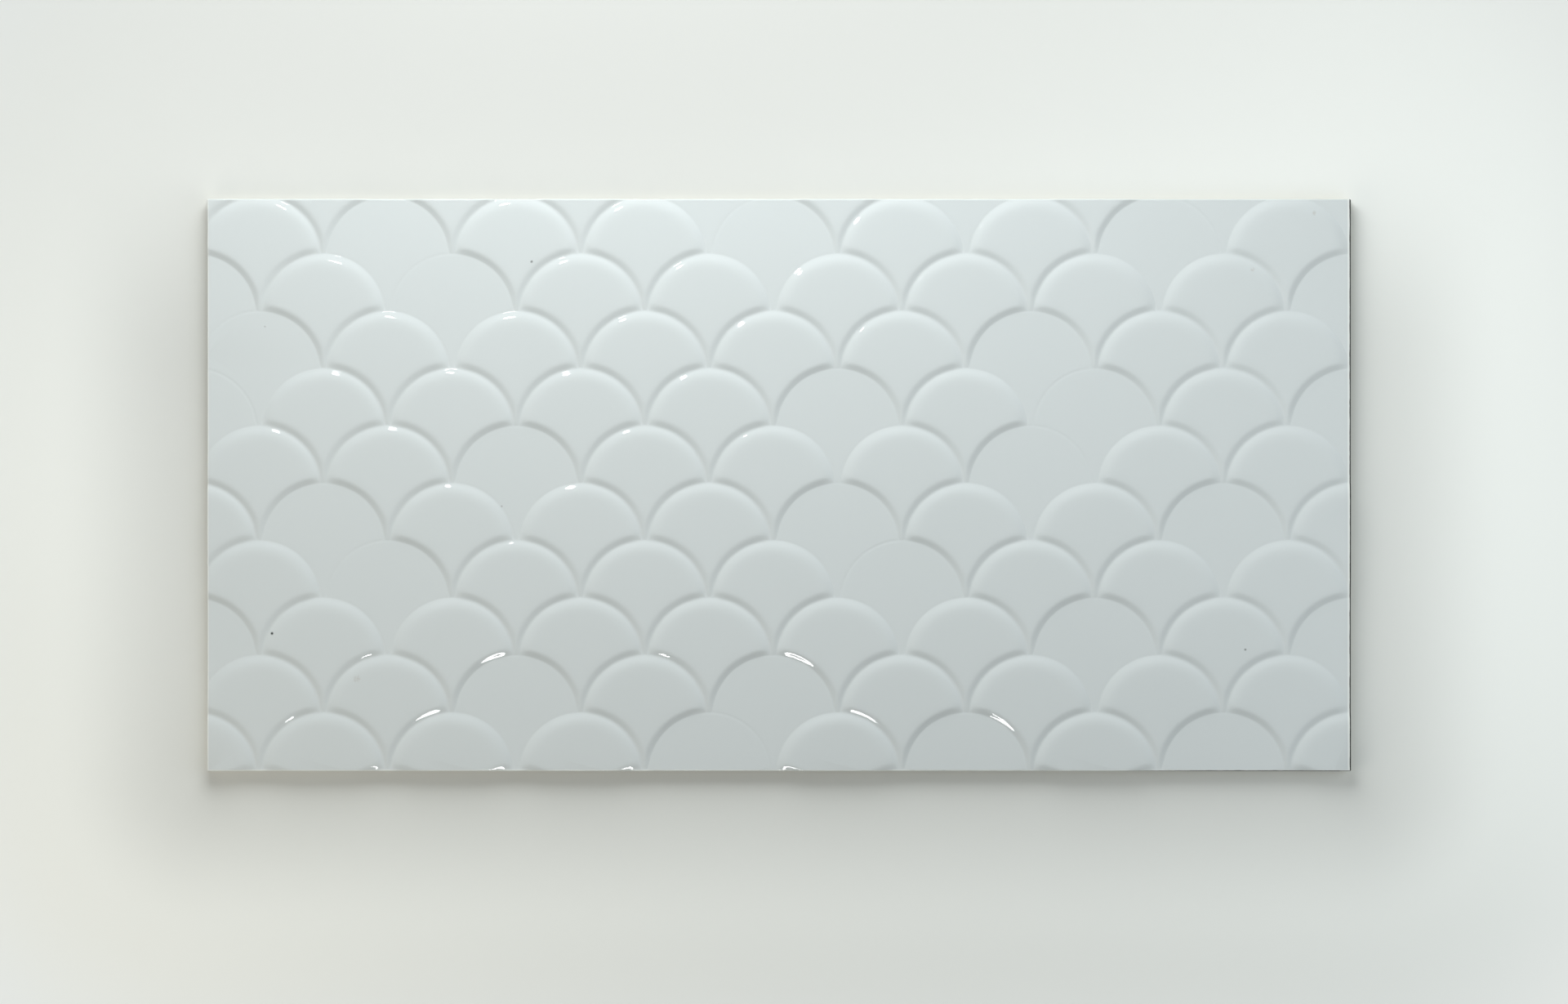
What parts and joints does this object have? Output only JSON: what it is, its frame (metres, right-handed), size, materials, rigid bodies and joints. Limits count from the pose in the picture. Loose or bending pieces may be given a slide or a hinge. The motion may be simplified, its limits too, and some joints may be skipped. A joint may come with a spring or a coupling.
{
  "type": "ceramic wall tile",
  "caption": "Rectangular glazed ceramic wall tile with a fish-scale relief of raised and low scales that runs off every edge, and shallow keying ribs on its flat back.",
  "frame": {"origin": "middle of the flat back, on the plane that beds on the wall", "axes": "+X along the 600 mm length, +Y along the 300 mm width towards the edge that goes up on the wall, where the round ends of the scales point, +Z out of the glazed face"},
  "size_m": [0.6, 0.3, 0.009],
  "materials": {
    "glazed_body": "gloss"
  },
  "bodies": {
    "root": {"tile": "glazed_body"}
  },
  "joints": []
}
